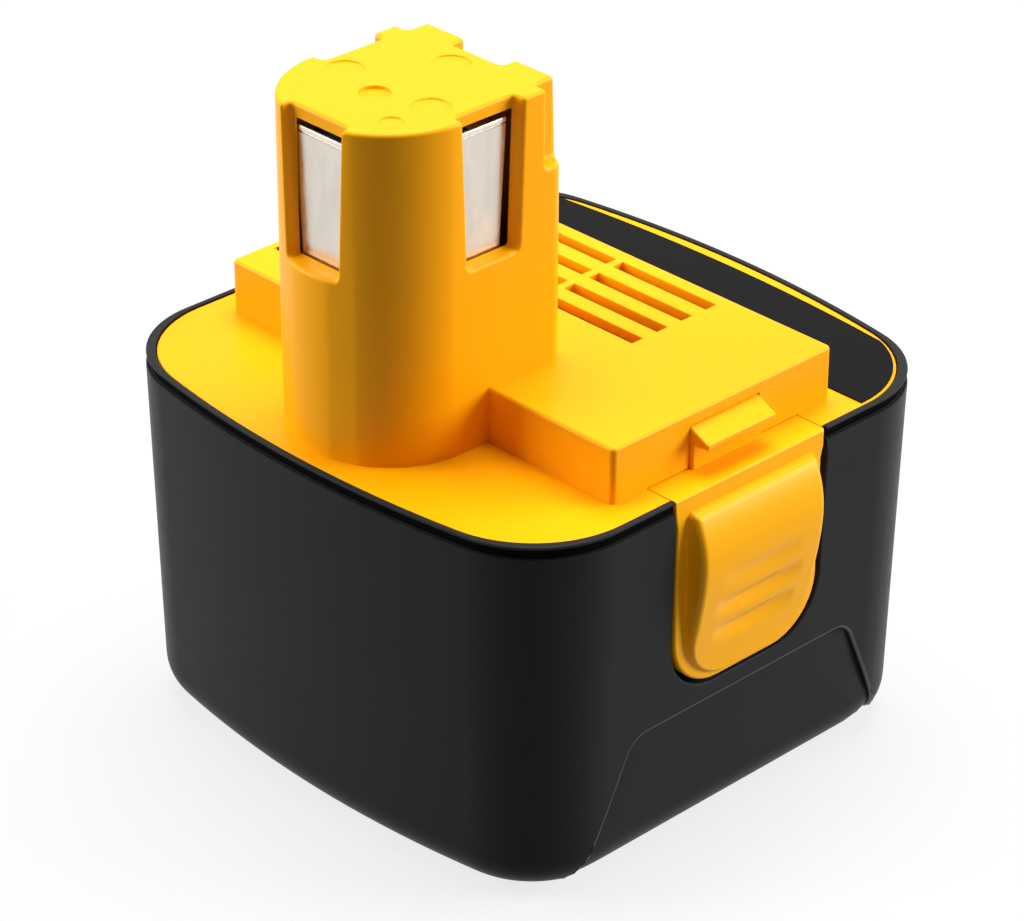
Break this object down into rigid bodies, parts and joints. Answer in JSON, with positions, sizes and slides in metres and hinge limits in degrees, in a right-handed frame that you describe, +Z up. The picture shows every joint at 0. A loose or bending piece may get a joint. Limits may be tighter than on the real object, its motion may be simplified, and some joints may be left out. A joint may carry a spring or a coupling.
{
  "type": "power tool battery pack",
  "caption": "Boxy battery pack for a cordless tool, with a tall contact tower on a vented block and a sprung thumb latch on each side.",
  "frame": {"origin": "bottom face of the case, at the middle of the outline", "axes": "+Z up along the contact tower, +X towards the right latch, -Y towards the front face by the tower"},
  "size_m": [0.095, 0.089, 0.1066],
  "materials": {
    "case_plastic": "satin, fine texture",
    "cover_plastic": "satin moulded plastic",
    "latch_plastic": "satin moulded plastic",
    "spring_wire": "drawn wire",
    "label_film": "satin film, bare",
    "contact_plate": "nickel plated",
    "carrier_plastic": "moulded plastic",
    "cell_sleeve": "shrink sleeve over a steel can",
    "strip_nickel": "rolled nickel strip",
    "card_fibre": "insulating card",
    "pad_foam": "foam pad",
    "sensor_epoxy": "epoxy and sleeved wire",
    "cutout_metal": "stamped case",
    "screw_steel": "zinc plated"
  },
  "bodies": {
    "pack": {"lower_case": "case_plastic", "top_cover": "cover_plastic", "latch_spring_right": "spring_wire", "latch_spring_left": "spring_wire", "rear_label": "label_film", "block_label": "label_film", "contact_right": "contact_plate", "contact_left": "contact_plate", "contact_front": "contact_plate", "terminal_holder": "carrier_plastic", "links_bottom": "strip_nickel", "links_top": "strip_nickel", "riser_strip": "strip_nickel", "negative_strip": "strip_nickel", "card_bottom": "card_fibre", "card_top": "card_fibre", "tower_pad": "pad_foam", "thermistor": "sensor_epoxy", "thermal_cutout": "cutout_metal", "case_screws": "screw_steel", "cell_01": "cell_sleeve", "cell_02": "cell_sleeve", "cell_03": "cell_sleeve", "cell_04": "cell_sleeve", "cell_05": "cell_sleeve", "cell_06": "cell_sleeve", "cell_07": "cell_sleeve", "cell_08": "cell_sleeve", "cell_09": "cell_sleeve", "cell_10": "cell_sleeve"},
    "right_latch": {"latch_right": "latch_plastic"},
    "left_latch": {"latch_left": "latch_plastic"}
  },
  "joints": [
    {"name": "latch_right_slide", "type": "slide", "parent": "pack", "child": "right_latch", "axis": [-1, 0, 0], "range_m": [0, 0.0035], "stiffness_N_per_m": 1500, "springref_m": -0.002, "deforming": ["latch_spring_right"]},
    {"name": "latch_left_slide", "type": "slide", "parent": "pack", "child": "left_latch", "axis": [1, 0, 0], "range_m": [0, 0.0035], "stiffness_N_per_m": 1500, "springref_m": -0.002, "deforming": ["latch_spring_left"]}
  ]
}
